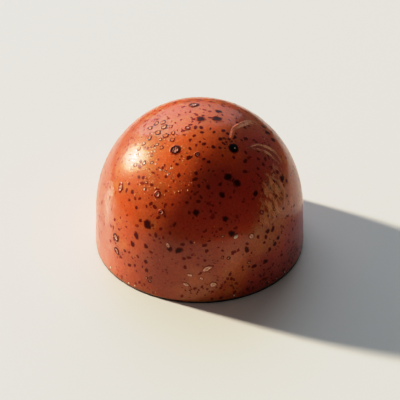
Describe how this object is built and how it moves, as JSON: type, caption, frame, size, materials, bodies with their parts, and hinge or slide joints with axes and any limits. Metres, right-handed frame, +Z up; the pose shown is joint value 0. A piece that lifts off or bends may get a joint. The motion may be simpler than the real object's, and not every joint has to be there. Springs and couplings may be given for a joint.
{
  "type": "chocolate praline",
  "caption": "Moulded dome-shaped praline with a short upright wall and a flat base; glossy orange-red shell with dark specks and copper flecks.",
  "frame": {"origin": "centre of the flat base, on the surface that the praline stands on", "axes": "+Z up along the axis of the dome; the side seen in the picture faces -Y, with +X to the right"},
  "size_m": [0.028, 0.028, 0.0198],
  "materials": {
    "coloured_shell": "glossy coloured cocoa butter over chocolate",
    "dark_specks": "glossy dark chocolate specks",
    "copper_flecks": "edible copper lustre",
    "bare_chocolate": "scraped dark chocolate, satin"
  },
  "bodies": {
    "root": {"praline": "coloured_shell"}
  },
  "joints": []
}
